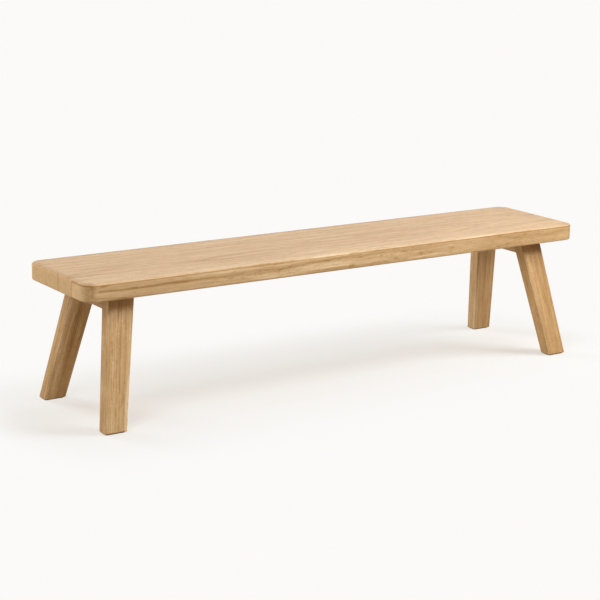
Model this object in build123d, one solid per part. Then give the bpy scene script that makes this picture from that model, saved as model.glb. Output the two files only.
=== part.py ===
"""Dining bench: a thick plank seat of edge-glued staves on two splayed end frames.

Millimetres. X runs along the bench, the front is towards -Y, Z is up, and the
origin is on the floor under the middle of the seat.
"""
import os
from math import radians, tan

from build123d import *

# Seat plank
seat_length = 1850.0
seat_width = 380.0
seat_height = 440.0
seat_thickness = 52.0
seat_corner_radius = 40.0
seat_edge_radius = 6.0
# Stave widths from the front edge to the rear edge, as shares of their sum
stave_width_shares = (88, 87, 79, 66, 60)

# End frames, measured where the legs meet the underside of the seat
frame_inset = 147.0
leg_spread = 216.0
leg_rake_degrees = 10.0
leg_splay_degrees = 13.2
leg_top_width = 85.0
leg_foot_width = 71.0
leg_thickness = 42.0
leg_edge_radius = 4.0
foot_edge_radius = 3.0
rail_height = 45.0

# Twin tenons that join each rail to its two legs
tenon_width = 16.0
tenon_height = 28.0
tenon_length = 24.0
tenon_spacing = 38.0
tenon_side_clearance = 0.15
tenon_end_clearance = 1.0

# Bolts that hold each rail up against the seat
bolt_spacing_along = 32.0
bolt_spacing_across = 92.0
bolt_diameter = 8.0
bolt_head_diameter = 13.0
bolt_head_height = 8.0
bolt_head_edge = 0.6
socket_across_flats = 6.0
socket_depth = 4.0
thread_engagement = 16.4
bolt_tip_chamfer = 1.0

# Washers under the bolt heads
washer_diameter = 20.0
washer_thickness = 1.6
washer_hole_clearance = 0.4

# Slots in the rail: the seat swells and shrinks across its width
slot_travel = 5.0
slot_side_clearance = 0.5
counterbore_depth = 14.0
counterbore_side_clearance = 1.0

# Threaded inserts in the underside of the seat
insert_diameter = 12.0
insert_spare_length = 2.0
insert_rim_chamfer = 0.8
insert_fit_clearance = 0.1
insert_thread_clearance = 0.05
insert_hole_spare_depth = 1.5

# Nail-in glides under the feet
glide_thickness = 2.5
glide_inset = 4.0
glide_corner_radius = 6.0
glide_edge_chamfer = 0.5
glide_stem_diameter = 5.0
glide_stem_length = 15.0
glide_stem_clearance = 0.1
glide_hole_spare_depth = 1.0

# Places worked out from the sizes above
seat_underside = seat_height - seat_thickness
rail_underside = seat_underside - rail_height
rail_middle = seat_underside - rail_height / 2
slope_along = tan(radians(leg_rake_degrees))
slope_across = tan(radians(leg_splay_degrees))
washer_seat = rail_underside + counterbore_depth
washer_underside = washer_seat - washer_thickness
bolt_length = seat_underside + thread_engagement - washer_underside
insert_length = thread_engagement + insert_spare_length
counterbore_width = washer_diameter + 2 * counterbore_side_clearance
slot_width = bolt_diameter + 2 * slot_side_clearance


def leg_middle(height):
    """Middle of the right rear leg at a height: along the bench, and across it."""
    drop = seat_underside - height
    along = seat_length / 2 - frame_inset + drop * slope_along
    return along, leg_spread / 2 + drop * slope_across


def leg_width(height):
    """Width of a leg along the bench: it tapers from the seat to the foot."""
    drop_share = (seat_underside - height) / (seat_underside - glide_thickness)
    return leg_top_width + (leg_foot_width - leg_top_width) * drop_share


def leg_blank(side):
    """Square-edged leg of the right frame: side 1 is the rear leg, -1 the front leg."""
    sections = []
    for height in (glide_thickness, seat_underside):
        along, across = leg_middle(height)
        outline = Rectangle(leg_width(height), leg_thickness)
        sections.append(Pos(along, side * across, height) * outline)
    return loft(sections, ruled=True)


def rail_blank():
    """Square-edged rail between the legs, flush with their broad edges."""
    sections = []
    for height in (rail_underside, seat_underside):
        along, across = leg_middle(height)
        outline = Rectangle(leg_width(height), 2 * across - leg_thickness)
        sections.append(Pos(along, 0, height) * outline)
    return loft(sections, ruled=True)


def rounded_frame():
    """Legs and rail as one shape, with every edge that a hand can reach rounded."""
    frame = leg_blank(1) + leg_blank(-1) + rail_blank()
    long_edges = frame.edges().filter_by(lambda edge: edge.bounding_box().size.Z > rail_height)
    rail_edges = frame.edges().filter_by(Axis.Y).group_by(Axis.Z)[1]
    frame = fillet(long_edges + rail_edges, leg_edge_radius)
    foot_edges = frame.edges().group_by(Axis.Z)[0]
    return fillet(foot_edges, foot_edge_radius)


def joint_plane(side):
    """Inner face of a leg, where the shoulder of the rail meets it."""
    across = leg_spread / 2 - leg_thickness / 2
    return Plane(origin=(0, side * across, seat_underside), z_dir=(0, side, slope_across))


def tenon_bars(side_clearance, end_clearance):
    """Twin bars through the rail whose two ends are the tenons, or the mortises."""
    along, across = leg_middle(rail_middle)
    reach = across - leg_thickness / 2 + tenon_length + end_clearance
    bar = Box(tenon_width + 2 * side_clearance, 2 * reach, tenon_height + 2 * side_clearance)
    return Pos(along, 0, rail_middle) * GridLocations(tenon_spacing, 0, 2, 1) * bar


def bolt_places(height):
    """Four places of the bolts of the right frame, at a height."""
    pattern = GridLocations(bolt_spacing_along, bolt_spacing_across, 2, 2)
    return [Pos(leg_middle(rail_middle)[0], 0, height) * place for place in pattern]


def slot_cut(width, depth):
    """Slot across the bench that goes up from its starting height."""
    return extrude(Rot(Z=90) * SlotCenterToCenter(slot_travel, width), depth)


def drilled_rail(rail):
    """Rail with its tenons, and with the slots and counterbores of the bolts."""
    for bar in tenon_bars(0, 0):
        rail += bar
    for place in bolt_places(rail_underside):
        rail -= place * slot_cut(slot_width, rail_height)
        rail -= place * slot_cut(counterbore_width, counterbore_depth)
    return rail


def glide_place(side):
    """Middle of the foot of a right leg, on the floor."""
    along, across = leg_middle(glide_thickness)
    return Pos(along, side * across, 0)


def mortised_leg(leg, side):
    """Leg with the mortises of the rail and the hole of the glide."""
    for bar in tenon_bars(tenon_side_clearance, tenon_end_clearance):
        leg -= bar
    radius = glide_stem_diameter / 2 + glide_stem_clearance
    depth = glide_thickness + glide_stem_length + glide_hole_spare_depth
    hole = extrude(Circle(radius), depth)
    return leg - glide_place(side) * hole


def glide(side):
    """Thin foot pad with the stem that is driven into the leg."""
    outline = RectangleRounded(
        leg_foot_width - 2 * glide_inset, leg_thickness - 2 * glide_inset, glide_corner_radius
    )
    pad = extrude(outline, glide_thickness)
    pad = chamfer(pad.edges().group_by(Axis.Z)[0], glide_edge_chamfer)
    stem = extrude(Circle(glide_stem_diameter / 2), glide_thickness + glide_stem_length)
    return glide_place(side) * (pad + stem)


def socket_bolt():
    """Cap screw with its head down: its seat is at zero, its thread points up."""
    head = extrude(Circle(bolt_head_diameter / 2), -bolt_head_height)
    head = fillet(head.edges().group_by(Axis.Z)[0], bolt_head_edge)
    socket = RegularPolygon(socket_across_flats / 2, 6, major_radius=False)
    head -= Pos(0, 0, -bolt_head_height) * extrude(socket, socket_depth)
    shank = extrude(Circle(bolt_diameter / 2), bolt_length)
    shank = chamfer(shank.edges().group_by(Axis.Z)[-1], bolt_tip_chamfer)
    return head + shank


def washer():
    """Flat washer that lies above zero, its hole a little wider than the bolt."""
    hole = Circle(bolt_diameter / 2 + washer_hole_clearance)
    return extrude(Circle(washer_diameter / 2) - hole, washer_thickness)


def threaded_insert():
    """Threaded sleeve, level with the underside of the seat at its lower end."""
    sleeve = extrude(Circle(insert_diameter / 2), insert_length)
    sleeve = chamfer(sleeve.edges().group_by(Axis.Z)[-1], insert_rim_chamfer)
    bore = Circle(bolt_diameter / 2 + insert_thread_clearance)
    return sleeve - extrude(bore, insert_length)


def insert_hole():
    """Blind hole in the seat for a threaded insert."""
    radius = insert_diameter / 2 + insert_fit_clearance
    return extrude(Circle(radius), insert_length + insert_hole_spare_depth)


def fastener_groups():
    """Bolts, washers and inserts of the right frame, each a group of four."""
    return {
        "bolts": [place * socket_bolt() for place in bolt_places(washer_underside)],
        "washers": [place * washer() for place in bolt_places(washer_underside)],
        "inserts": [place * threaded_insert() for place in bolt_places(seat_underside)],
    }


def right_end():
    """Every piece of the right end of the bench, by the name it has there."""
    frame = rounded_frame()
    pieces = {}
    for row, side in (("front", -1), ("rear", 1)):
        leg = split(frame, bisect_by=joint_plane(side), keep=Keep.TOP)
        frame = split(frame, bisect_by=joint_plane(side), keep=Keep.BOTTOM)
        pieces[f"{row}_{{end}}_leg"] = mortised_leg(leg, side)
        pieces[f"{row}_{{end}}_glide"] = glide(side)
    pieces["{end}_rail"] = drilled_rail(frame)
    for kind, solids in fastener_groups().items():
        pieces[f"{{end}}_{kind}"] = Compound(solids)
    return pieces


def seat_plank():
    """Whole seat with rounded corners and eased edges, drilled for the inserts."""
    outline = RectangleRounded(seat_length, seat_width, seat_corner_radius)
    plank = Pos(0, 0, seat_underside) * extrude(outline, seat_thickness)
    rims = plank.faces().group_by(Axis.Z)
    plank = fillet(rims[0].edges() + rims[-1].edges(), seat_edge_radius)
    for place in bolt_places(seat_underside):
        hole = place * insert_hole()
        plank -= hole
        plank -= mirror(hole, about=Plane.YZ)
    return plank


def seat_staves():
    """Seat cut along its glue lines, from the front stave to the rear one."""
    rest = seat_plank()
    glue_line = -seat_width / 2
    staves = {}
    for number, share in enumerate(stave_width_shares[:-1], start=1):
        glue_line += seat_width * share / sum(stave_width_shares)
        cut = Plane.XZ.offset(-glue_line)
        staves[f"seat_stave_{number}"] = split(rest, bisect_by=cut, keep=Keep.TOP)
        rest = split(rest, bisect_by=cut, keep=Keep.BOTTOM)
    staves[f"seat_stave_{len(stave_width_shares)}"] = rest
    return staves


def whole_bench():
    """Every piece of the bench, by name."""
    pieces = seat_staves()
    for name, piece in right_end().items():
        pieces[name.format(end="right")] = piece
        pieces[name.format(end="left")] = mirror(piece, about=Plane.YZ)
    return pieces


os.makedirs("parts", exist_ok=True)
for node, shape in whole_bench().items():
    shape.label = node
    export_step(shape, f"parts/{node}.step")
    size = shape.bounding_box().size
    print(f"{node}: {size.X:.1f} x {size.Y:.1f} x {size.Z:.1f} mm, {len(shape.solids())} solid(s)")
print(f"Bolt under its head: {bolt_length:.1f} mm")
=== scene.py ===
# %% [markdown]
# # A solid oak dining bench
# The bench is a thick plank seat, glued up from five staves, that stands on two splayed end frames.
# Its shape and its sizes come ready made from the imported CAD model. This script gives it what a
# drawing can't: real timber, in which every board has its own place in the log, metal and nylon for
# the small parts, and the light of a photo studio. All lengths are in metres.

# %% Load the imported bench
from math import cos, pi, radians, sin

import bpy
from mathutils import Matrix, Vector


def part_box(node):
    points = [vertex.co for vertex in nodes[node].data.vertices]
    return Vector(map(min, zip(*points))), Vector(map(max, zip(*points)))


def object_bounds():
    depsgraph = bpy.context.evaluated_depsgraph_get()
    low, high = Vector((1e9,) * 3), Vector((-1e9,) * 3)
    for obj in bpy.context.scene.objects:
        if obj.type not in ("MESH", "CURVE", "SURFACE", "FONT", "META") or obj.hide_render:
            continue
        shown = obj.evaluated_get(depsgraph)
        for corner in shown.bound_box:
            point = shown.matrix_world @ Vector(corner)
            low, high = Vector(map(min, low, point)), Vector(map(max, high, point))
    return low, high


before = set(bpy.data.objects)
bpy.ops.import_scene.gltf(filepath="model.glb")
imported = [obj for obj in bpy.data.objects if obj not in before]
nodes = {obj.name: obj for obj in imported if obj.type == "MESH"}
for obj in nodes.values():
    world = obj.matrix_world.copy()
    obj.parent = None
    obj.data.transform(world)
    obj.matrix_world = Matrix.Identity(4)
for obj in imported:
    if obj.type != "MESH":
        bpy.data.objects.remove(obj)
cad_low, cad_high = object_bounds()
seat_names = sorted(name for name in nodes if name.startswith("seat_stave"))
leg_names = sorted(name for name in nodes if name.endswith("_leg"))
rail_names = sorted(name for name in nodes if name.endswith("_rail"))
print("Bench box:", [round(value, 3) for value in (*cad_low, *cad_high)])
print("Boards:", seat_names, leg_names, rail_names)

# %% [markdown]
# ## Camera
# A studio camera with a long lens stands well back from the bench, so that its long lines hardly
# converge. It looks at the left front corner from above the seat. The place, the turn and the lens
# could be found by trial, but working them out from the outline of the bench in the photograph is
# surer. The small roll is the photographer's: the horizon leans by about one degree.

# %% Camera
camera_place = Vector((-3.0738, -4.4278, 1.5731))
camera_yaw = radians(34.17)
camera_pitch = radians(13.825)
camera_roll = radians(1.068)
camera_lens = 103.66
camera_sight = 100.0

camera = bpy.data.objects.new("camera", bpy.data.cameras.new("camera"))
bpy.context.scene.collection.objects.link(camera)
bpy.context.scene.camera = camera
turn = (
    Matrix.Rotation(-camera_yaw, 4, "Z")
    @ Matrix.Rotation(radians(90) - camera_pitch, 4, "X")
    @ Matrix.Rotation(camera_roll, 4, "Z")
)
camera.matrix_world = Matrix.Translation(camera_place) @ turn
camera.data.lens = camera_lens
camera.data.clip_end = camera_sight
bpy.context.scene.view_settings.view_transform = "Standard"
print("Camera distance:", round(camera_place.length, 2), "m")

# %% [markdown]
# ## A short way to add shader nodes
# A finish here is a network of shader nodes. By hand it would be wired up in the node editor, but in a
# script every node takes three or four lines, and the network can't be seen for them. So one helper
# adds a node, sets its properties and fills its inputs with values or with links. The others add what
# is used all the time: a sum or product, noise, and soft steps that turn a value into a mask between
# 0 and 1.

# %% Node helpers
# The value that noise varies about
noise_middle = 0.5


def add(tree, kind, inputs=None, **settings):
    """Adds a shader node. Its inputs are named or numbered, and take a value or another's output."""
    made = tree.nodes.new("ShaderNode" + kind)
    for name, value in settings.items():
        setattr(made, name, value)
    for key, value in (inputs or {}).items():
        if isinstance(value, bpy.types.NodeSocket):
            tree.links.new(value, made.inputs[key])
        else:
            made.inputs[key].default_value = value
    return made


def calc(tree, operation, *values):
    """Output of a Math node."""
    return add(tree, "Math", dict(enumerate(values)), operation=operation).outputs[0]


def vector_calc(tree, operation, *values):
    """Output of a Vector Math node."""
    return add(tree, "VectorMath", dict(enumerate(values)), operation=operation).outputs[0]


def times(tree, first, second):
    """Product of two values."""
    return calc(tree, "MULTIPLY", first, second)


def soft_step(tree, value, start, end, low=0.0, high=1.0):
    """Mask that goes smoothly from low to high while the value goes from start to end."""
    inputs = {"Value": value, "From Min": start, "From Max": end, "To Min": low, "To Max": high}
    return add(tree, "MapRange", inputs, interpolation_type="SMOOTHSTEP").outputs[0]


def soft_fall(tree, value, start, end):
    """Mask that goes smoothly from 1 to 0 while the value goes from start to end."""
    return soft_step(tree, value, start, end, 1.0, 0.0)


def band(tree, value, rise, fall):
    """Mask that is 1 between a rise and a fall, each given by its start and its end."""
    return times(tree, soft_step(tree, value, *rise), soft_fall(tree, value, *fall))


def scaled(tree, colour, factor):
    """Colour times one number."""
    return add(tree, "VectorMath", {0: colour, "Scale": factor}, operation="SCALE").outputs[0]


def noise(tree, place, scale, detail, roughness=0.5):
    """Noise stretched by three scales, as one number and as three, all between 0 and 1."""
    inputs = {"Vector": vector_calc(tree, "MULTIPLY", place, scale), "Scale": 1.0}
    inputs.update({"Detail": detail, "Roughness": roughness})
    return add(tree, "TexNoise", inputs).outputs


def line_noise(tree, value, scale, detail):
    """Noise between 0 and 1 along one coordinate."""
    inputs = {"W": value, "Scale": scale, "Detail": detail}
    return add(tree, "TexNoise", inputs, noise_dimensions="1D").outputs[0]


def parts(tree, vector):
    """The three numbers of a vector."""
    return add(tree, "SeparateXYZ", {0: vector}).outputs


def new_group(name, inputs, outputs):
    """Shader node group, with its named inputs and outputs."""
    tree = bpy.data.node_groups.new(name, "ShaderNodeTree")
    kinds = {float: "NodeSocketFloat", tuple: "NodeSocketColor", Vector: "NodeSocketVector"}
    for label, value in inputs.items():
        socket = tree.interface.new_socket(label, in_out="INPUT", socket_type=kinds[type(value)])
        socket.default_value = value
    for label, kind in outputs.items():
        tree.interface.new_socket(label, in_out="OUTPUT", socket_type=kinds[kind])
    return tree, tree.nodes.new("NodeGroupInput").outputs, tree.nodes.new("NodeGroupOutput").inputs


def new_material(name):
    """Material with an empty node tree and its output."""
    material = bpy.data.materials.new(name)
    material.use_nodes = True
    material.node_tree.nodes.clear()
    output = material.node_tree.nodes.new("ShaderNodeOutputMaterial")
    return material, material.node_tree, output.inputs["Surface"]


def seen_ray(tree):
    """1 for rays that show a backdrop: to the camera, in a reflection or through glass."""
    rays = add(tree, "LightPath").outputs
    shown = calc(tree, "MAXIMUM", rays["Is Camera Ray"], rays["Is Glossy Ray"])
    return calc(tree, "MAXIMUM", shown, rays["Is Transmission Ray"])


print("Helpers ready")

# %% [markdown]
# ## Studio light
# The photograph has no hard shadow: the light comes from large soft boxes and from white walls all
# round. One lamp alone would leave the far sides black, and walls alone would leave every side the
# same. So the world stands for the walls, and is seen as a plain warm white, and four large lamps give
# the bench its form: a strong one at the right front, weaker ones at the front and at the left front,
# and a strong, low one behind the left end, which keeps the left ends of the seat and the left sides
# of the legs bright. The walls show in reflections and the lamps don't, as behind polarising filters,
# because the shine of one of them would burn out a part of the top.

# %% World and lamps
backdrop_white = Vector((0.965, 0.955, 0.94))
wall_light = 0.30
lamp_distance = 4.0
lamp_target = Vector((0, 0, 0.2))
lamp_size = 2.0
# For each lamp: its angle from the front towards the right end, its angle up, and its strength
lamps = {
    "right_front_lamp": (60, 35, 0.613),
    "front_lamp": (30, 35, 0.115),
    "left_front_lamp": (-60, 35, 0.233),
    "left_rear_lamp": (-150, 12, 0.62),
}


def make_world():
    """Walls that light the bench at one strength and are seen at another."""
    world = bpy.data.worlds.new("studio_walls")
    world.use_nodes = True
    tree = world.node_tree
    tree.nodes.clear()
    light = add(tree, "Background", {"Color": (1, 1, 1, 1), "Strength": wall_light})
    shown = add(tree, "Background", {"Color": (*backdrop_white, 1), "Strength": 1.0})
    inputs = {0: seen_ray(tree), 1: light.outputs[0], 2: shown.outputs[0]}
    mixed = add(tree, "MixShader", inputs)
    output = tree.nodes.new("ShaderNodeOutputWorld")
    tree.links.new(mixed.outputs[0], output.inputs["Surface"])
    bpy.context.scene.world = world


def make_lamp(name, azimuth, elevation, strength):
    """Round soft box that lights a white surface at the target to its strength."""
    lamp = bpy.data.lights.new(name, "AREA")
    lamp.shape = "DISK"
    lamp.size = lamp_size
    lamp.energy = strength * pi**2 * lamp_distance**2
    turned, raised = radians(azimuth), radians(elevation)
    away = Vector((sin(turned) * cos(raised), -cos(turned) * cos(raised), sin(raised)))
    made = bpy.data.objects.new(name, lamp)
    made.location = lamp_target + away * lamp_distance
    made.rotation_euler = away.to_track_quat("Z", "Y").to_euler()
    made.visible_glossy = False
    bpy.context.scene.collection.objects.link(made)


make_world()
for lamp_name, lamp_values in lamps.items():
    make_lamp(lamp_name, *lamp_values)
print("Lamps:", list(lamps))

# %% [markdown]
# ## Floor
# The floor is a sheet of white paper that runs on into the backdrop without an edge. A plain white
# plane would do, but paper that is lit as strongly as the bench would burn out, and its shadow with
# it. So for the camera about half of its white is painted on and half of it is lit. The lit half has
# a little less red than the painted one, because oak sends some warm light into its own shadow. More
# lit white makes a stronger shadow. There is most of it under the middle of the bench, and less behind
# it, where the walls throw their light back. Away from the bench, and sooner past its ends, the floor
# turns into the colour of the backdrop altogether. Its underside is clear to the camera, so that the
# bench can also be seen from below.

# %% Floor
floor_half_size = 30.0
# What the paper throws back onto the bench
floor_bounce = (0.41, 0.40, 0.385)
# The lit share of the white, and how strongly the lamps and walls light an open floor
floor_lit_share = Vector((0.455, 0.49, 0.545))
open_floor_light = 1.06
# Where it becomes the rear share, going backwards from the middle line
rear_start = (0.0, 0.18)
rear_lit_share = 0.72
# How it changes going away from the middle line to both sides
middle_reach = (0.04, 0.26)
middle_lit_share = (1.20, 0.86)
# Where it fades out, and how many times sooner past the ends
shadow_reach = (0.12, 0.60)
end_fading = 2.2


def make_floor():
    """White floor, partly painted and partly lit, with the shadow of the bench."""
    bpy.ops.object.select_all(action="DESELECT")
    bpy.ops.mesh.primitive_plane_add(size=2 * floor_half_size)
    floor = bpy.context.object
    floor.name = "floor"
    material, tree, surface = new_material("paper_floor")
    place = add(tree, "TexCoord").outputs["Object"]
    x, y, _ = parts(tree, place)
    beside = calc(tree, "SUBTRACT", calc(tree, "ABSOLUTE", x), cad_high.x)
    beside = times(tree, calc(tree, "MAXIMUM", beside, 0.0), end_fading)
    squares = calc(tree, "ADD", times(tree, beside, beside), times(tree, y, y))
    near = soft_fall(tree, calc(tree, "SQRT", squares), *shadow_reach)
    near = times(tree, near, soft_step(tree, y, *rear_start, 1.0, rear_lit_share))
    middle = soft_step(tree, calc(tree, "ABSOLUTE", y), *middle_reach, *middle_lit_share)
    near = times(tree, near, middle)
    lit = scaled(tree, floor_lit_share * backdrop_white, near)
    painted = vector_calc(tree, "SUBTRACT", backdrop_white, lit)
    paper = add(tree, "BsdfDiffuse", {"Color": scaled(tree, lit, 1 / open_floor_light)}).outputs[0]
    glow = add(tree, "Emission", {"Color": painted}).outputs[0]
    shown = add(tree, "AddShader", {0: glow, 1: paper}).outputs[0]
    bounce = add(tree, "BsdfDiffuse", {"Color": (*floor_bounce, 1)}).outputs[0]
    either = add(tree, "MixShader", {0: seen_ray(tree), 1: bounce, 2: shown}).outputs[0]
    clear = add(tree, "BsdfTransparent").outputs[0]
    below = add(tree, "NewGeometry").outputs["Backfacing"]
    tree.links.new(add(tree, "MixShader", {0: below, 1: either, 2: clear}).outputs[0], surface)
    floor.data.materials.append(material)


make_floor()
print("Share of the floor that is lit:", list(floor_lit_share))

# %% [markdown]
# ## The figure of oak
# Oak grows a ring a year: in spring a band of wide open pores, and then denser wood. Pale rays run
# through the rings from the heart outwards. All of this is solid, so a board shows whatever its
# place in the log gives it: long lines where the saw crossed the rings, pointed arches where it ran
# along them, and arcs on the end. A picture wrapped round the board couldn't do that, so the figure
# is worked out from the distance to the heart of the log. The group reads a place in the log, with
# the grain along X and the heart on the X axis. Streaks are broad changes along the grain, dashes the
# short dark lines of large pores, and blotches the cloudy changes that oil brings out.

# %% Growth rings, streaks, pores and rays
figure_inputs = {
    "Place": Vector((0, 0, 0)), "Up Log": 0.0, "Ring Width": 0.0035, "Waver": 0.02, "Bow": 0.0,
}
figure_labels = ("Rings", "Streaks", "Dashes", "Pores", "Rays", "Blotches", "Radius")
# How many features a metre holds, along the grain and in both directions across it. For the rays:
# along the grain, around the heart and outwards. The details are how many times finer noise is laid
# over it, and how strong that is
sway_scale = (0.9, 5, 5)
streak_scale = (2.6, 60, 60)
streak_detail = (6.0, 0.68)
dash_scale = (30, 200, 200)
pore_scale = (70, 1200, 1200)
ray_scale = (150, 1100, 45)
blotch_scale = (16, 75, 75)
blotch_detail = (3.0, 0.6)
# Where in the noise a dash, a pore or a ray starts and is full
dash_edge = (0.56, 0.72)
pore_edge = (0.16, 0.34)
ray_edge = (0.6, 0.72)
# Spring wood in the course of one ring: it fades, and starts again before the ring ends
spring_end = (0.0, 0.45)
next_spring = (0.88, 1.0)
# By how many years a ring may lie too far out or in, and how fast that changes along the radius
uneven_years = 2.5
uneven_scale = 45.0
# How much of a ring's tone changes from year to year, and of the dashes and pores with the spring
year_share = 0.7
dash_spring_share = 0.5
pore_spring_share = 0.85
# How many metres one radian round the heart stands for, in the noise of the rays
around_scale = 0.1


def partly(tree, value, share):
    """Factor that follows a value by a share, and is 1 where the value is 1."""
    return calc(tree, "MULTIPLY_ADD", value, share, 1.0 - share)


def make_figure_group():
    """Figure of oak at a place in the log, part by part."""
    tree, given, wanted = new_group("oak_figure", figure_inputs, dict.fromkeys(figure_labels, float))
    up_log = add(tree, "CombineXYZ", {0: given["Up Log"]}).outputs[0]
    place = vector_calc(tree, "ADD", given["Place"], up_log)
    sway = noise(tree, place, sway_scale, detail=2.0)[1]
    sway = vector_calc(tree, "SUBTRACT", sway, (noise_middle,) * 3)
    amount = add(tree, "CombineXYZ", {1: given["Waver"], 2: given["Waver"]}).outputs[0]
    bent = vector_calc(tree, "MULTIPLY_ADD", sway, amount, place)
    x, y, z = parts(tree, bent)
    board_x = parts(tree, given["Place"])[0]
    squares = calc(tree, "ADD", times(tree, y, y), times(tree, z, z))
    bow = times(tree, times(tree, board_x, board_x), given["Bow"])
    radius = calc(tree, "ADD", calc(tree, "SQRT", squares), bow)
    years = calc(tree, "DIVIDE", radius, given["Ring Width"])
    uneven = line_noise(tree, radius, uneven_scale, detail=1.0)
    years = calc(tree, "MULTIPLY_ADD", uneven, uneven_years, years)
    season = calc(tree, "FRACT", years)
    spring = soft_fall(tree, season, *spring_end)
    spring = calc(tree, "MAXIMUM", spring, soft_step(tree, season, *next_spring))
    year = {"W": calc(tree, "FLOOR", years)}
    year_tone = add(tree, "TexWhiteNoise", year, noise_dimensions="1D").outputs[0]
    dash = soft_step(tree, noise(tree, bent, dash_scale, detail=1.0)[0], *dash_edge)
    fine = vector_calc(tree, "MULTIPLY", bent, pore_scale)
    cells = add(tree, "TexVoronoi", {"Vector": fine, "Scale": 1.0})
    pore = soft_fall(tree, cells.outputs["Distance"], *pore_edge)
    around = times(tree, calc(tree, "ARCTAN2", z, y), around_scale)
    sheet = add(tree, "CombineXYZ", {0: x, 1: around, 2: radius}).outputs[0]
    found = {
        "Rings": times(tree, spring, partly(tree, year_tone, year_share)),
        "Streaks": noise(tree, bent, streak_scale, *streak_detail)[0],
        "Dashes": times(tree, dash, partly(tree, spring, dash_spring_share)),
        "Pores": times(tree, pore, partly(tree, spring, pore_spring_share)),
        "Rays": soft_step(tree, noise(tree, sheet, ray_scale, detail=1.0)[0], *ray_edge),
        "Blotches": noise(tree, bent, blotch_scale, *blotch_detail)[0],
        "Radius": radius,
    }
    for label, value in found.items():
        tree.links.new(value, wanted[label])
    return tree


oak_figure = make_figure_group()
print("Figure group:", len(oak_figure.nodes), "nodes")

# %% [markdown]
# ## Oiled oak
# Oil soaks into open pores and darkens them, and it leaves dense wood and rays pale. Darker oak is
# also a fuller colour, as a thicker layer of tea is. A mix of two colours would miss that, but a power
# of the colour lowers the blue more than the red. So each part of the figure adds to one number, the
# depth of the oil, and that number sets the power and a little shade. In some boards the wood near the
# heart is darker than the wood outside it. The ends of the boards are sanded so fine that they take
# less oil, and they are painted paler still: painted light that stands in for the sheen of the low lamp
# behind the left end. Where a corner is rounded off in plan the grain stays open, and darker. Where
# hands and cloth rub an edge, it is paler and smoother.

# %% Oiled oak
oil_inputs = {
    **figure_inputs, "Face": Vector((0, 0, 1)), "Wood": (0.62, 0.37, 0.16, 1), "Depth": 0.0,
    "Contrast": 1.0, "Extra": 0.0, "Heartwood": 0.0, "Heart Distance": 0.1, "Polish": 0.0,
    "Dash Share": 1.0,
}
finish_outputs = {"Color": tuple, "Roughness": float, "Height": float}
# For each part of the figure: its mean, and how much it adds to the depth of the oil
figure_depths = {
    "Rings": (0.19, 0.11), "Streaks": (0.505, 0.58), "Dashes": (0.057, 0.24), "Pores": (0.028, 0.32),
    "Rays": (0.06, -0.10), "Blotches": (0.5, 0.24),
}
# What cut grain adds: where the board ends square, mostly painted light that stands in for the lamp's
# sheen on the left end, where its corner is rounded off in plan, and where the edge of its end is eased
end_oil_and_light = -0.08
corner_depth = 0.16
eased_end_depth = -0.03
# What rubbing takes from the depth along an edge
rubbed_depth = -0.24
# How much of the figure shows on the ends
end_figure_share = 0.4
# What a depth of 1 leaves of the light, beside the power of the colour
oil_shade = 0.42
# How far a face turns towards the grain, between 0 and 1, where it counts as an end, and where a
# corner or an eased end starts and stops
end_turn = (0.45, 0.9)
corner_turns = ((0.05, 0.4), (0.7, 0.98))
corner_tilt = (0.25, 0.7)
eased_end_turns = ((0.1, 0.5), (0.85, 0.98))
eased_end_tilt = (0.1, 0.35)
# An edge is rubbed where it turns away from both long faces, but not towards the end
rubbed_turn = (0.74, 0.97)
rubbed_end_turn = (0.1, 0.4)
# Cloth polishes the faces that lie flat
polished_turn = (0.9, 0.99)
# Roughness of the dense wood, and what the other parts add to it
dense_roughness = 0.42
pore_roughness = 0.2
streak_roughness = 0.12
rubbed_roughness = -0.08
end_roughness = 0.25
# Height of each part, as a share of the relief
pore_height = -1.0
ring_height = -0.3
dash_height = -0.3


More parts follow.
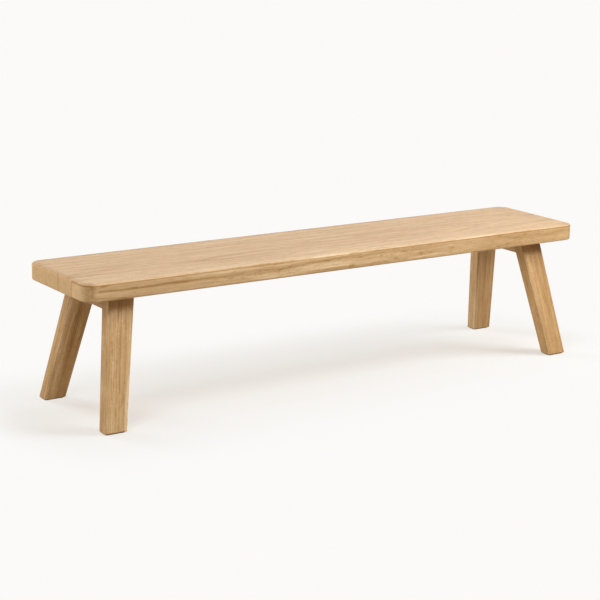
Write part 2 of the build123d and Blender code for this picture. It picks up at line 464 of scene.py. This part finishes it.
def make_oil_group():
    """Colour, roughness and height of oiled oak at a place in the log, on a face of the board."""
    tree, given, wanted = new_group("oiled_oak", oil_inputs, finish_outputs)
    inputs = {name: given[name] for name in figure_inputs}
    figure = add(tree, "Group", inputs, node_tree=oak_figure).outputs
    along, across, upright = parts(tree, vector_calc(tree, "ABSOLUTE", given["Face"]))
    end_grain = soft_step(tree, along, *end_turn)
    corner = band(tree, along, *corner_turns)
    corner = times(tree, corner, soft_fall(tree, upright, *corner_tilt))
    eased_end = band(tree, along, *eased_end_turns)
    eased_end = times(tree, eased_end, soft_fall(tree, across, *eased_end_tilt))
    rubbed = soft_fall(tree, calc(tree, "MAXIMUM", across, upright), *rubbed_turn)
    rubbed = times(tree, rubbed, soft_fall(tree, along, *rubbed_end_turn))
    depth = 0.0
    for name, (mean, weight) in figure_depths.items():
        more = times(tree, calc(tree, "SUBTRACT", figure[name], mean), weight)
        if name == "Dashes":
            more = times(tree, more, given["Dash Share"])
        depth = calc(tree, "ADD", more, depth)
    depth = times(tree, depth, soft_step(tree, end_grain, 0.0, 1.0, 1.0, end_figure_share))
    depth = calc(tree, "MULTIPLY_ADD", depth, given["Contrast"], given["Depth"])
    # The end grain mask adds painted light on the ends, standing in for the lamp's sheen
    masks = (end_grain, corner, eased_end, rubbed)
    for mask, weight in zip(masks, (end_oil_and_light, corner_depth, eased_end_depth, rubbed_depth)):
        depth = calc(tree, "MULTIPLY_ADD", mask, weight, depth)
    nearer = calc(tree, "SUBTRACT", given["Heart Distance"], figure["Radius"])
    depth = calc(tree, "MULTIPLY_ADD", nearer, given["Heartwood"], depth)
    depth = calc(tree, "ADD", depth, given["Extra"])
    fuller = add(tree, "Gamma", {0: given["Wood"], 1: calc(tree, "ADD", depth, 1.0)}).outputs[0]
    shade = calc(tree, "POWER", oil_shade, depth)
    tree.links.new(scaled(tree, fuller, shade), wanted["Color"])
    rough = calc(tree, "MULTIPLY_ADD", figure["Pores"], pore_roughness, dense_roughness)
    rough = calc(tree, "MULTIPLY_ADD", figure["Streaks"], streak_roughness, rough)
    rough = calc(tree, "MULTIPLY_ADD", rubbed, rubbed_roughness, rough)
    any_end = calc(tree, "MAXIMUM", end_grain, eased_end)
    rough = calc(tree, "MULTIPLY_ADD", any_end, end_roughness, rough)
    polished = times(tree, soft_step(tree, upright, *polished_turn), given["Polish"])
    tree.links.new(calc(tree, "SUBTRACT", rough, polished), wanted["Roughness"])
    height = times(tree, figure["Rings"], ring_height)
    height = calc(tree, "MULTIPLY_ADD", figure["Pores"], pore_height, height)
    tree.links.new(calc(tree, "MULTIPLY_ADD", figure["Dashes"], dash_height, height), wanted["Height"])
    return tree


oiled_oak = make_oil_group()
print("Oil group:", len(oiled_oak.nodes), "nodes")

# %% [markdown]
# ## Boards
# Every board gets its own material, which says where in the log it was sawn: the direction of its
# grain, the place of the heart beside it, and how far up the log it lies. One material for all of
# them would let the lines run on from board to board, as if the bench were carved from one tree. The
# rest is the same oiled oak, with small differences in tone between the boards. The relief of the
# grain is shallow, because the boards are planed and sanded.

# %% One board's material
relief = 0.25
relief_height = 0.0004
oil_refraction = 1.5
warm_gloss = (1.0, 0.72, 0.45, 1)
x_axis, y_axis, z_axis = (1, 0, 0), (0, 1, 0), (0, 0, 1)


def log_rotation(grain, edge):
    """Rotation of a log whose axis is the grain, with one of the board's long faces along edge."""
    length = Vector(grain).normalized()
    across = Vector(edge).cross(length).normalized()
    return Matrix((length, across, length.cross(across))).transposed().to_euler()


def board_material(name, grain, edge, heart, up_log, wood, marks=(), gloss=0.25, **values):
    """Oiled oak for one board. grain is its direction and heart a point on the log's axis.

    Marks are groups that add to the depth of the oil, each with values for its inputs.
    """
    material, tree, surface = new_material(name + "_oak")
    rotation = log_rotation(grain, edge)
    seen = add(tree, "TexCoord").outputs
    place = add(tree, "Mapping", {"Vector": seen["Object"], "Location": heart, "Rotation": rotation},
                vector_type="TEXTURE").outputs[0]
    face = add(tree, "Mapping", {"Vector": seen["Normal"], "Rotation": rotation},
               vector_type="TEXTURE").outputs[0]
    inputs = {"Place": place, "Face": face, "Up Log": up_log, "Wood": (*wood, 1), **values}
    extra = 0.0
    for group, settings in marks:
        mark = add(tree, "Group", {0: seen["Object"], 1: face, **settings}, node_tree=group).outputs[0]
        extra = calc(tree, "ADD", mark, extra)
    inputs["Extra"] = extra
    oak = add(tree, "Group", inputs, node_tree=oiled_oak).outputs
    bump = add(tree, "Bump", {"Strength": relief, "Distance": relief_height, "Height": oak["Height"]})
    finish = {"Base Color": oak["Color"], "Roughness": oak["Roughness"], "Normal": bump.outputs[0]}
    finish.update({"IOR": oil_refraction, "Specular IOR Level": gloss, "Specular Tint": warm_gloss})
    tree.links.new(add(tree, "BsdfPrincipled", finish).outputs[0], surface)
    return material


def paint(name, material):
    """Puts a material on a CAD node, whose mesh stays as it is."""
    if not nodes[name].material_slots:
        nodes[name].data.materials.append(None)
    for slot in nodes[name].material_slots:
        slot.material = material


print("Board materials ready")

# %% [markdown]
# ## Streaks on the front
# A tree that took up minerals through a wound has dark streaks in its wood. The front stave has one
# along its front edge. It starts at the left end, in the upper half of the edge, and fades out a third
# of the way along. A fainter one dips and rises again near the middle of the bench, with strips of
# paler wood around it, and a broad, faint one runs low along the right part. They would never fall
# into these places by chance, so each is listed. One group makes all eight: a streak runs between
# two places along X, at a height that bends away from its middle and drifts a little. A pale one takes
# from the depth. They go only a little way into the wood, so the top hardly shows them.

# %% Streaks
mark_inputs = {"Place": Vector((0, 0, 0)), "Face": Vector((0, 0, 1))}
streak_inputs = {
    "Start": 0.0, "Start Fade": 0.1, "End": 0.0, "End Fade": 0.1, "Middle": 0.0, "Height": 0.42,
    "Curve": 0.0, "Half Width": 0.003, "Strength": 0.1,
}
# How far they go into the wood from its front
streak_reach = (-0.186, -0.165)
# The drift: which part of the noise it takes, its scale, and how far it moves a streak up and down
drift_start = 0.2
drift_scale = 2.6
drift_height = 0.022
# How finely the borders fray, and how far
fray_scale = (9, 60, 260)
fray_height = 0.006
# How far from its middle the border of a streak starts, and how far beyond the whole width it ends
border_start = 0.0022
border_spare = 0.003
front_streaks = [
    {"Start": -0.892, "Start Fade": 0.014, "End": -0.62, "End Fade": 0.24, "Middle": -0.75,
     "Height": 0.4175, "Curve": 0.03, "Half Width": 0.0032, "Strength": 0.38},
    {"Start": -0.44, "Start Fade": 0.12, "End": -0.02, "End Fade": 0.12, "Middle": -0.19,
     "Height": 0.4205, "Curve": 0.25, "Half Width": 0.0022, "Strength": 0.14},
    {"Start": -0.42, "Start Fade": 0.12, "End": -0.06, "End Fade": 0.1, "Middle": -0.2,
     "Height": 0.409, "Half Width": 0.0065, "Strength": -0.16},
    {"Start": -0.62, "Start Fade": 0.15, "End": 0.0, "End Fade": 0.1, "Middle": -0.12,
     "Height": 0.4335, "Half Width": 0.0045, "Strength": -0.20},
    {"Start": -0.02, "Start Fade": 0.1, "End": 0.3, "End Fade": 0.2,
     "Height": 0.4185, "Half Width": 0.003, "Strength": -0.14},
    {"Start": -0.4, "Start Fade": 0.15, "End": 0.25, "End Fade": 0.2,
     "Height": 0.4, "Half Width": 0.0025, "Strength": -0.16},
    {"Start": -0.64, "Start Fade": 0.12, "End": -0.38, "End Fade": 0.12, "Middle": -0.5,
     "Height": 0.412, "Half Width": 0.0035, "Strength": -0.14},
    {"Start": 0.45, "Start Fade": 0.2, "End": 0.95, "End Fade": 0.01, "Middle": 0.7,
     "Height": 0.399, "Half Width": 0.008, "Strength": 0.10},
]


def make_streak_group():
    """Streak of darker or paler wood along the front of the seat."""
    tree, given, wanted = new_group("streak", {**mark_inputs, **streak_inputs}, {"Depth": float})
    x, y, z = parts(tree, given["Place"])
    drift = line_noise(tree, calc(tree, "ADD", x, drift_start), drift_scale, detail=2.0)
    drift = calc(tree, "SUBTRACT", drift, noise_middle)
    from_middle = calc(tree, "SUBTRACT", x, given["Middle"])
    bend = times(tree, times(tree, from_middle, from_middle), given["Curve"])
    height = calc(tree, "ADD", given["Height"], bend)
    height = calc(tree, "MULTIPLY_ADD", drift, drift_height, height)
    away = calc(tree, "ABSOLUTE", calc(tree, "SUBTRACT", z, height))
    fray = noise(tree, given["Place"], fray_scale, detail=2.0)[0]
    frayed = calc(tree, "MULTIPLY_ADD", fray, fray_height, away)
    border = calc(tree, "MULTIPLY_ADD", given["Half Width"], 2.0, border_spare)
    body = soft_fall(tree, frayed, border_start, border)
    started = calc(tree, "ADD", given["Start"], given["Start Fade"])
    ended = calc(tree, "ADD", given["End"], given["End Fade"])
    body = times(tree, body, soft_fall(tree, y, *streak_reach))
    body = times(tree, body, soft_step(tree, x, given["Start"], started))
    body = times(tree, body, soft_fall(tree, x, given["End"], ended))
    tree.links.new(times(tree, body, given["Strength"]), wanted["Depth"])
    return tree


streak = make_streak_group()
print("Streaks on the front:", len(front_streaks))

# %% [markdown]
# ## The front edge of the seat
# The rubbed, paler wood lies on the upper half of the round along the front. Its lower half gets
# painted shade, so it is as dark as the front, where a sharper arris would turn away from the light.
# The top gets a painted sheen: it is paler in the last few centimetres before the edge, a little at the
# left end, most of all in the middle and the right part, and no more at the right end itself. The
# round under the seat gets painted shade. The solid keeps its softer round, so the direction of the
# face and the place on it decide.

# %% Front edge
# How far a face turns up where the lower half of the round starts, where the upper half does, and
# where the round under the seat starts and ends
lower_round = (0.04, 0.2)
upper_round = (0.66, 0.85)
under_round = ((-0.99, -0.8), (-0.5, -0.1))
# The painted shade that the lower half and the round under the seat add to the depth
lower_round_shade = 0.30
under_edge_shade = 0.16
# Where the painted sheen pales the top, along Y, and by how much, from one place along X to the other
top_sheen_band = (-0.145, -0.184)
top_sheen_ends = (-0.9, 0.1)
top_sheen_depths = (-0.03, -0.12)
# Where along X the painted sheen is taken back, and how much of it
sheen_fade_ends = (0.45, 0.9)
sheen_fade_depth = 0.12


def make_front_edge_light_group():
    """Painted shade on the lower half and under the front edge, and a painted sheen on the top before
    it.
    """
    tree, given, wanted = new_group("front_edge_light_and_shade", mark_inputs, {"Depth": float})
    x, y, _ = parts(tree, given["Place"])
    up = parts(tree, given["Face"])[2]
    # Painted shade on the lower round and under the seat, and a painted sheen on the top before the
    # edge
    depth = times(tree, band(tree, up, lower_round, upper_round), lower_round_shade)
    worn = times(tree, soft_step(tree, y, *top_sheen_band), soft_step(tree, up, *upper_round))
    amount = soft_step(tree, x, *top_sheen_ends, *top_sheen_depths)
    amount = calc(tree, "ADD", amount, soft_step(tree, x, *sheen_fade_ends, 0.0, sheen_fade_depth))
    depth = calc(tree, "MULTIPLY_ADD", worn, amount, depth)
    depth = calc(tree, "MULTIPLY_ADD", band(tree, up, *under_round), under_edge_shade, depth)
    tree.links.new(depth, wanted["Depth"])
    return tree


front_edge_light_and_shade = make_front_edge_light_group()
# Where the painted sheen on the top starts, along Y
print("Top worn from Y", top_sheen_band[0])

# %% [markdown]
# ## The rim of the seat
# The rim of the top gets painted shade, as a rim rolled over further than the model's would have: the
# top is darker in its last two centimetres before the left end, and in a wider band round the front
# corners. A thin line of painted shade runs along the rear edge. The right end of the top gets a little
# painted shade all over, where it turns away from the light. Bands along X and Y would meet in a hard
# angle, so round the corners the distance is taken from the middle of their rounding.

# %% Rim of the seat
# Radius of the corners in plan
seat_corner = 0.04
# From the middle of a rounding outwards, where the end band and the corner band start and are full
end_rim = (0.014, 0.024)
corner_rim = (0.003, 0.02)
# The painted shade that they add to the depth, for the corners first at the left and then at the right
end_rim_shade = 0.11
corner_rim_shades = (0.30, 0.12)
# Where along X the right end starts, where along Y the rear line does, and the painted shade each adds
right_end = (0.78, 0.90)
right_end_shade = 0.04
rear_rim = (0.168, 0.182)
rear_rim_shade = 0.14
# Where the left half turns into the right one, and the front half into the rear one
to_right = (-0.5, 0.5)
to_rear = (-0.05, 0.05)
# How far a face turns up where it is the top, and a distance that is never zero to divide by
top_face = (0.8, 0.97)
least_distance = 0.00001


def make_rim_shade_group():
    """Painted shade on the rim of the top: left end, front corners, rear edge and right end."""
    tree, given, wanted = new_group("painted_rim_shade", mark_inputs, {"Depth": float})
    x, y, _ = parts(tree, given["Place"])
    up = parts(tree, given["Face"])[2]
    past = []
    for value, edge in ((x, cad_high.x), (y, -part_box(seat_names[0])[0][1])):
        inside = calc(tree, "SUBTRACT", calc(tree, "ABSOLUTE", value), edge - seat_corner)
        past.append(calc(tree, "MAXIMUM", inside, least_distance))
    squares = calc(tree, "MULTIPLY_ADD", past[0], past[0], times(tree, past[1], past[1]))
    out = calc(tree, "SQRT", squares)
    slant = calc(tree, "DIVIDE", times(tree, times(tree, *past), 2.0), squares)
    square_on = calc(tree, "SUBTRACT", calc(tree, "DIVIDE", past[0], out), slant)
    end = times(tree, soft_step(tree, out, *end_rim), square_on)
    end = times(tree, end, soft_step(tree, x, *to_right, end_rim_shade, 0.0))
    corner = times(tree, soft_step(tree, out, *corner_rim), slant)
    corner = times(tree, corner, soft_step(tree, x, *to_right, *corner_rim_shades))
    corner = times(tree, corner, soft_fall(tree, y, *to_rear))
    # The bands, the right end and the rear line are all painted shade
    depth = calc(tree, "ADD", calc(tree, "MAXIMUM", end, 0.0), corner)
    depth = calc(tree, "ADD", depth, soft_step(tree, x, *right_end, 0.0, right_end_shade))
    depth = calc(tree, "ADD", depth, soft_step(tree, y, *rear_rim, 0.0, rear_rim_shade))
    tree.links.new(times(tree, depth, soft_step(tree, up, *top_face)), wanted["Depth"])
    return tree


painted_rim_shade = make_rim_shade_group()
print("Rim group:", len(painted_rim_shade.nodes), "nodes")

# %% [markdown]
# ## Glue lines
# The staves are planed, glued and clamped edge to edge. What is left to see is a line as thin as a
# hair. It is dark on the ends, where the glue has kept the oil from soaking in evenly, above all at
# the two joints nearest the front, and hardly shows on the top. A tight joint has no groove, so the
# line is only a darker tone on both sides of it.

# %% Glue lines
# How far from the joint the line starts to fade and is gone, and what it adds to the depth
seam_half_width = (0.0003, 0.0016)
seam_depth_on_top = 0.05
seam_depth_on_end = 0.30
end_face = (0.3, 0.9)
# From the front one to the rear one
seam_strengths = (1.4, 2.2, 0.4, 0.3)


def make_seam_group():
    """Dark lines where a stave is glued to the ones beside it."""
    inputs = {**mark_inputs, "Front": 0.0, "Rear": 0.0, "Front Strength": 1.0, "Rear Strength": 1.0}
    tree, given, wanted = new_group("glue_lines", inputs, {"Depth": float})
    y = parts(tree, given["Place"])[1]
    along = calc(tree, "ABSOLUTE", parts(tree, given["Face"])[0])
    depth = soft_step(tree, along, *end_face, seam_depth_on_top, seam_depth_on_end)
    front = soft_fall(tree, calc(tree, "SUBTRACT", y, given["Front"]), *seam_half_width)
    rear = soft_fall(tree, calc(tree, "SUBTRACT", given["Rear"], y), *seam_half_width)
    front = times(tree, front, given["Front Strength"])
    line = calc(tree, "MULTIPLY_ADD", rear, given["Rear Strength"], front)
    tree.links.new(times(tree, line, depth), wanted["Depth"])
    return tree


glue_lines = make_seam_group()
print("Glue lines:", len(seat_names) - 1)

# %% [markdown]
# ## Seat staves
# One wide board would cup as it dries, so a seat is glued up from narrow ones. The hearts of four of
# them lie below and above the seat in turn, which keeps it flat, and their tops show the broad figure
# of flat-sawn wood. The front stave was sawn right beside the heart: its top has close, straight
# lines, and its front the open figure. The hearts could be placed at random, but listed one by one
# they give each face the figure that it has on the bench. The top is polished by cloth, so it is
# smoother.

# %% Seat staves
seat_wood = (0.606, 0.361, 0.160)
seat_gloss = 0.6
seat_values = {"Polish": 0.12, "Contrast": 0.97}
front_stave_values = {"Ring Width": 0.0045, "Waver": 0.012, "Contrast": 1.0}
# For each stave, from the front: the heart along, across and above the floor, how far up the log,
# the bow of the log, and the depth of the oil
stave_logs = [
    ((-0.12, -0.085, 0.4155), 0.3, 0.010, -0.12),
    ((0.30, -0.050, 0.200), 3.1, 0.004, -0.06),
    ((-0.45, 0.010, 0.680), 6.4, 0.003, -0.06),
    ((0.10, 0.150, 0.240), 9.2, -0.003, -0.06),
    ((-0.20, 0.090, 0.650), 12.7, 0.002, -0.07),
]

for name, (heart, up_log, bow, depth) in zip(seat_names, stave_logs):
    values = {"Depth": depth, "Bow": bow, **seat_values}
    low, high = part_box(name)
    # The front of the first stave and the rear of the last one aren't glued to anything
    number = seat_names.index(name)
    strengths = (0.0, *seam_strengths, 0.0)[number:number + 2]
    seams = {"Front": low[1], "Rear": high[1]}
    seams.update({"Front Strength": strengths[0], "Rear Strength": strengths[1]})
    marks = [(glue_lines, seams), (painted_rim_shade, {})]
    if name == seat_names[0]:
        values.update(front_stave_values)
        marks.append((front_edge_light_and_shade, {}))
        marks.extend((streak, settings) for settings in front_streaks)
    log = (x_axis, z_axis, heart, up_log)
    paint(name, board_material(name, *log, seat_wood, marks, seat_gloss, **values))
print("Staves painted:", len(seat_names))

# %% [markdown]
# ## Painted shade at the top of the legs
# Under the seat the tops of the front legs get painted shade, darker than the lamps leave them. The
# tops of the rear legs are painted a little paler, painted light that lifts some of the shade that the
# seat casts there. Shade under the seat alone would end in a soft, even edge, so the border of this
# painted shade is ragged along the wood.

# %% Painted shade at the top of the legs
# For each row of legs: where it starts and is full above the floor, and the painted shade that it adds
# to the depth; below zero, on the rear legs, it is painted light
seat_shade_rows = {
    "front": {"Start": 0.341, "Full": 0.364, "Strength": 0.30},
    "rear": {"Start": 0.28, "Full": 0.325, "Strength": -0.08},
}
# How finely its border frays, and how far
seat_shade_scale = (60, 60, 14)
seat_shade_fray = 0.012
# How far a face turns to the front or the rear where it counts as one of the two
broad_face = (0.5, 0.9)


def facing(tree, given):
    """Mask of the faces that look to the front or the rear."""
    across = calc(tree, "ABSOLUTE", parts(tree, given["Face"])[1])
    return soft_step(tree, across, *broad_face)


def make_seat_shade_group():
    """Painted shade in the top of a leg, and painted light where the strength is below zero."""
    inputs = {**mark_inputs, "Start": 0.3, "Full": 0.33, "Strength": 0.1}
    tree, given, wanted = new_group("painted_seat_shade", inputs, {"Depth": float})
    z = parts(tree, given["Place"])[2]
    ragged = noise(tree, given["Place"], seat_shade_scale, detail=2.0)[0]
    height = calc(tree, "MULTIPLY_ADD", ragged, seat_shade_fray, z)
    shade_mask = soft_step(tree, height, given["Start"], given["Full"])
    shade_mask = times(tree, shade_mask, given["Strength"])
    tree.links.new(times(tree, shade_mask, facing(tree, given)), wanted["Depth"])
    return tree


painted_seat_shade = make_seat_shade_group()
# Rows of legs: painted shade at the tops of the front legs, painted light at the rear ones
print("Stains on the legs:", list(seat_shade_rows))

# %% [markdown]
# ## The left sides of the legs
# The left sides of the legs get painted light and shade: on the front left leg the side gets painted
# shade, darker than the front, on both rear legs painted light that stands in for the lamp's sheen, so
# it is paler, and on the front right leg hardly any. The faces of a leg share one material, so the
# direction of the face decides.

# %% Left sides
# How far a face turns to the left, as a negative number, where it counts and where not
left_face = (-0.9, -0.45)


def make_left_shading_group():
    """Painted shade on the left side of a leg, painted light where the strength is below zero."""
    inputs = {**mark_inputs, "Strength": 0.1}
    tree, given, wanted = new_group("left_face_shading", inputs, {"Depth": float})
    side = soft_fall(tree, parts(tree, given["Face"])[2], *left_face)
    tree.links.new(times(tree, side, given["Strength"]), wanted["Depth"])
    return tree


left_face_shading = make_left_shading_group()
print("Side group:", len(left_face_shading.nodes), "nodes")

# %% [markdown]
# ## Sapwood on two legs
# Two legs get a paler strip of painted light on the left of their front. On the rear left leg it is a
# narrow strip whose border crosses the front at a slant: the lit part beside the soft shadow that the
# front left leg and the seat cast on it. On the front right leg it takes nearly half of the front, a
# painted highlight beside its left arris. Its border is close to a straight line, and a line is easy
# to put in its place.

# %% Painted light on two legs
# For each leg: where its border meets the floor along X, how far the border moves along X per metre of
# height, half the width of its blur, and what the painted light adds to the depth of the oil
light_strip_borders = {
    "rear_left_leg": {"Border": -0.852, "Slant": 0.155, "Blur": 0.012, "Strength": -0.21},
    "front_right_leg": {"Border": 0.838, "Slant": -0.170, "Blur": 0.007, "Strength": -0.13},
}
# How finely the border frays, and how far in all
light_strip_scale = (50, 50, 5)
light_strip_fray = 0.012


def make_light_strip_group():
    """Painted light on the left of a slanting border."""
    inputs = {**mark_inputs, "Border": 0.0, "Slant": 0.0, "Blur": 0.01, "Strength": -0.1}
    tree, given, wanted = new_group("painted_light_strip", inputs, {"Depth": float})
    x, _, z = parts(tree, given["Place"])
    border = calc(tree, "MULTIPLY_ADD", z, given["Slant"], given["Border"])
    ragged = noise(tree, given["Place"], light_strip_scale, detail=3.0)[0]
    ragged = calc(tree, "MULTIPLY_ADD", ragged, light_strip_fray, -light_strip_fray / 2)
    inside = calc(tree, "ADD", calc(tree, "SUBTRACT", x, border), ragged)
    share = soft_fall(tree, calc(tree, "DIVIDE", inside, given["Blur"]), -1.0, 1.0)
    share = times(tree, share, facing(tree, given))
    tree.links.new(times(tree, share, given["Strength"]), wanted["Depth"])
    return tree


painted_light_strip = make_light_strip_group()
# The legs with a strip of painted light on their front
print("Legs with sapwood:", list(light_strip_borders))

# %% [markdown]
# ## Legs and rails
# A leg's grain runs up its length, so its figure is fine upright lines. The leg leans both ways, and
# grain along the height above the floor would run out at its sides. So the grain is the line between
# the middles of its two ends, which are found on its mesh. Each leg lies elsewhere in the log, and they
# differ in tone and contrast. The rear left one gets darker towards the heart, which also puts painted
# shade on the right of its front, where the front left leg and the seat shade it. The rails lie in the
# shade under the seat and need nothing special.

# %% Legs and rails
frame_wood = (0.62, 0.373, 0.166)
leg_gloss = 0.2
leg_values = {"Waver": 0.012, "Dash Share": 0.35}
same_level = 0.001


def end_centres(name):
    """Middles of the lowest and the highest end of a node."""
    found = []
    places = [vertex.co for vertex in nodes[name].data.vertices]
    for level in (min(place.z for place in places), max(place.z for place in places)):
        ring = [place for place in places if abs(place.z - level) < same_level]
        low = Vector(min(place[axis] for place in ring) for axis in range(3))
        high = Vector(max(place[axis] for place in ring) for axis in range(3))
        found.append((low + high) / 2)
    return found


# For each leg: the heart beside its foot, how far up the log, the depth of the oil and the painted
# shade that the left side adds to it, painted light where it is below zero, how much darker the wood is
# a metre nearer to the heart, which on the rear left leg is also painted shade, and the contrast
leg_logs = {
    "front_left_leg": ((0.05, 0.09, 0), 16.0, -0.10, 0.12, 0.0, 1.7),
    "rear_left_leg": ((0.08, 0.07, 0), 19.0, 0.18, -0.07, 2.0, 1.7),
    "front_right_leg": ((0.09, 0.06, 0), 22.0, 0.085, -0.015, 0.0, 1.45),
    "rear_right_leg": ((0.04, -0.10, 0), 25.0, 0.02, -0.155, 0.0, 1.3),
}
for name, (beside, up_log, depth, left_face_shade, heartwood_and_shade, contrast) in leg_logs.items():
    foot, top = end_centres(name)
    heart = foot + Vector(beside)
    values = {"Depth": depth, "Contrast": contrast, **leg_values}
    values.update({"Heartwood": heartwood_and_shade, "Heart Distance": Vector(beside).length})
    # Marks of painted light and shade on the left side and at the top of each leg
    marks = [(left_face_shading, {"Strength": left_face_shade}), (painted_seat_shade, seat_shade_rows[name.split("_")[0]])]
    if name in light_strip_borders:
        marks.append((painted_light_strip, light_strip_borders[name]))
    log = (top - foot, x_axis, heart, up_log)
    paint(name, board_material(name, *log, frame_wood, marks, leg_gloss, **values))

# For the rails: how far up the log each lies, and the heart beside its middle
rail_logs = (28.0, 31.0)
rail_heart = Vector((0.06, 0, -0.11))
for name, up_log in zip(rail_names, rail_logs):
    low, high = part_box(name)
    log = (y_axis, z_axis, (low + high) / 2 + rail_heart, up_log)
    paint(name, board_material(name, *log, frame_wood))
print("Legs and rails painted")

# %% [markdown]
# ## Fixings and glides
# Four bolts at each end hold the rail up against the seat, in slots that let the seat swell and
# shrink. The bolts are blackened in a hot salt bath, which leaves a mottled skin, the washers are zinc
# plated, and the brass inserts are turned from bar, with the fine lines of the tool all round. The
# glides are moulded nylon with a spark-eroded grain, and dull where they rub on the floor. They hardly
# show, so one group makes all four finishes from the same two noises, one for patches and one for the
# fine marks.

# %% Finish of the small parts
worn_inputs = {
    "Place": Vector((0, 0, 0)), "Marks": Vector((900, 900, 900)), "Patches": 60.0,
    "Colour": (0.5, 0.5, 0.5, 1), "Patch Colour": (0.4, 0.4, 0.4, 1), "Smooth": 0.3, "Rough": 0.5,
}
# Where in the noise a patch starts and is full, and how finely it is broken up
patch_edge = (0.35, 0.65)
patch_detail = {"Detail": 4.0, "Roughness": 0.6}
# How much of the roughness comes from the patches and from the fine marks
patch_share = 0.6
fine_share = 0.4
# Strength of the relief
small_relief = 0.6


def make_worn_group():
    """Mottled surface with fine marks, for metal and nylon."""
    tree, given, wanted = new_group("worn_surface", worn_inputs, finish_outputs)
    inputs = {"Vector": given["Place"], "Scale": given["Patches"], **patch_detail}
    patch = soft_step(tree, add(tree, "TexNoise", inputs).outputs[0], *patch_edge)
    colours = {0: patch, 6: given["Colour"], 7: given["Patch Colour"]}
    mixed = add(tree, "Mix", colours, data_type="RGBA")
    tree.links.new(mixed.outputs[2], wanted["Color"])
    fine = noise(tree, given["Place"], given["Marks"], detail=2.0)[0]
    share = times(tree, patch, patch_share)
    share = calc(tree, "ADD", share, times(tree, fine, fine_share))
    rough = add(tree, "MapRange", {0: share, 3: given["Smooth"], 4: given["Rough"]}).outputs[0]
    tree.links.new(rough, wanted["Roughness"])
    tree.links.new(fine, wanted["Height"])
    return tree


worn_surface = make_worn_group()
# Kind of node: the values of the finish, whether it is metal, and how deep its marks are
small_finishes = {
    "bolts": (
        {"Colour": (0.045, 0.045, 0.05, 1), "Patch Colour": (0.09, 0.082, 0.075, 1),
         "Patches": 240.0, "Smooth": 0.32, "Rough": 0.55},
        1.0, 0.00004,
    ),
    "washers": (
        {"Colour": (0.58, 0.60, 0.63, 1), "Patch Colour": (0.44, 0.46, 0.50, 1),
         "Patches": 380.0, "Smooth": 0.22, "Rough": 0.42},
        1.0, 0.00002,
    ),
    "inserts": (
        {"Colour": (0.68, 0.49, 0.22, 1), "Patch Colour": (0.50, 0.33, 0.14, 1),
         "Marks": Vector((30, 30, 5200)), "Patches": 160.0, "Smooth": 0.2, "Rough": 0.38},
        1.0, 0.00005,
    ),
    "glide": (
        {"Colour": (0.030, 0.022, 0.017, 1), "Patch Colour": (0.048, 0.037, 0.029, 1),
         "Marks": Vector((1500, 1500, 1500)), "Patches": 90.0, "Smooth": 0.45, "Rough": 0.7},
        0.0, 0.00008,
    ),
}


def small_material(kind, values, metal, relief_depth):
    """Finish for one kind of small part."""
    material, tree, surface = new_material(kind + "_finish")
    inputs = {"Place": add(tree, "TexCoord").outputs["Object"], **values}
    worn = add(tree, "Group", inputs, node_tree=worn_surface).outputs
    inputs = {"Strength": small_relief, "Distance": relief_depth, "Height": worn["Height"]}
    bump = add(tree, "Bump", inputs)
    finish = {"Base Color": worn["Color"], "Roughness": worn["Roughness"], "Normal": bump.outputs[0]}
    finish["Metallic"] = metal
    tree.links.new(add(tree, "BsdfPrincipled", finish).outputs[0], surface)
    return material


for kind, values in small_finishes.items():
    finish = small_material(kind, *values)
    users = [name for name in nodes if name.endswith(kind)]
    for name in users:
        paint(name, finish)
    print(kind, "on", len(users), "nodes")
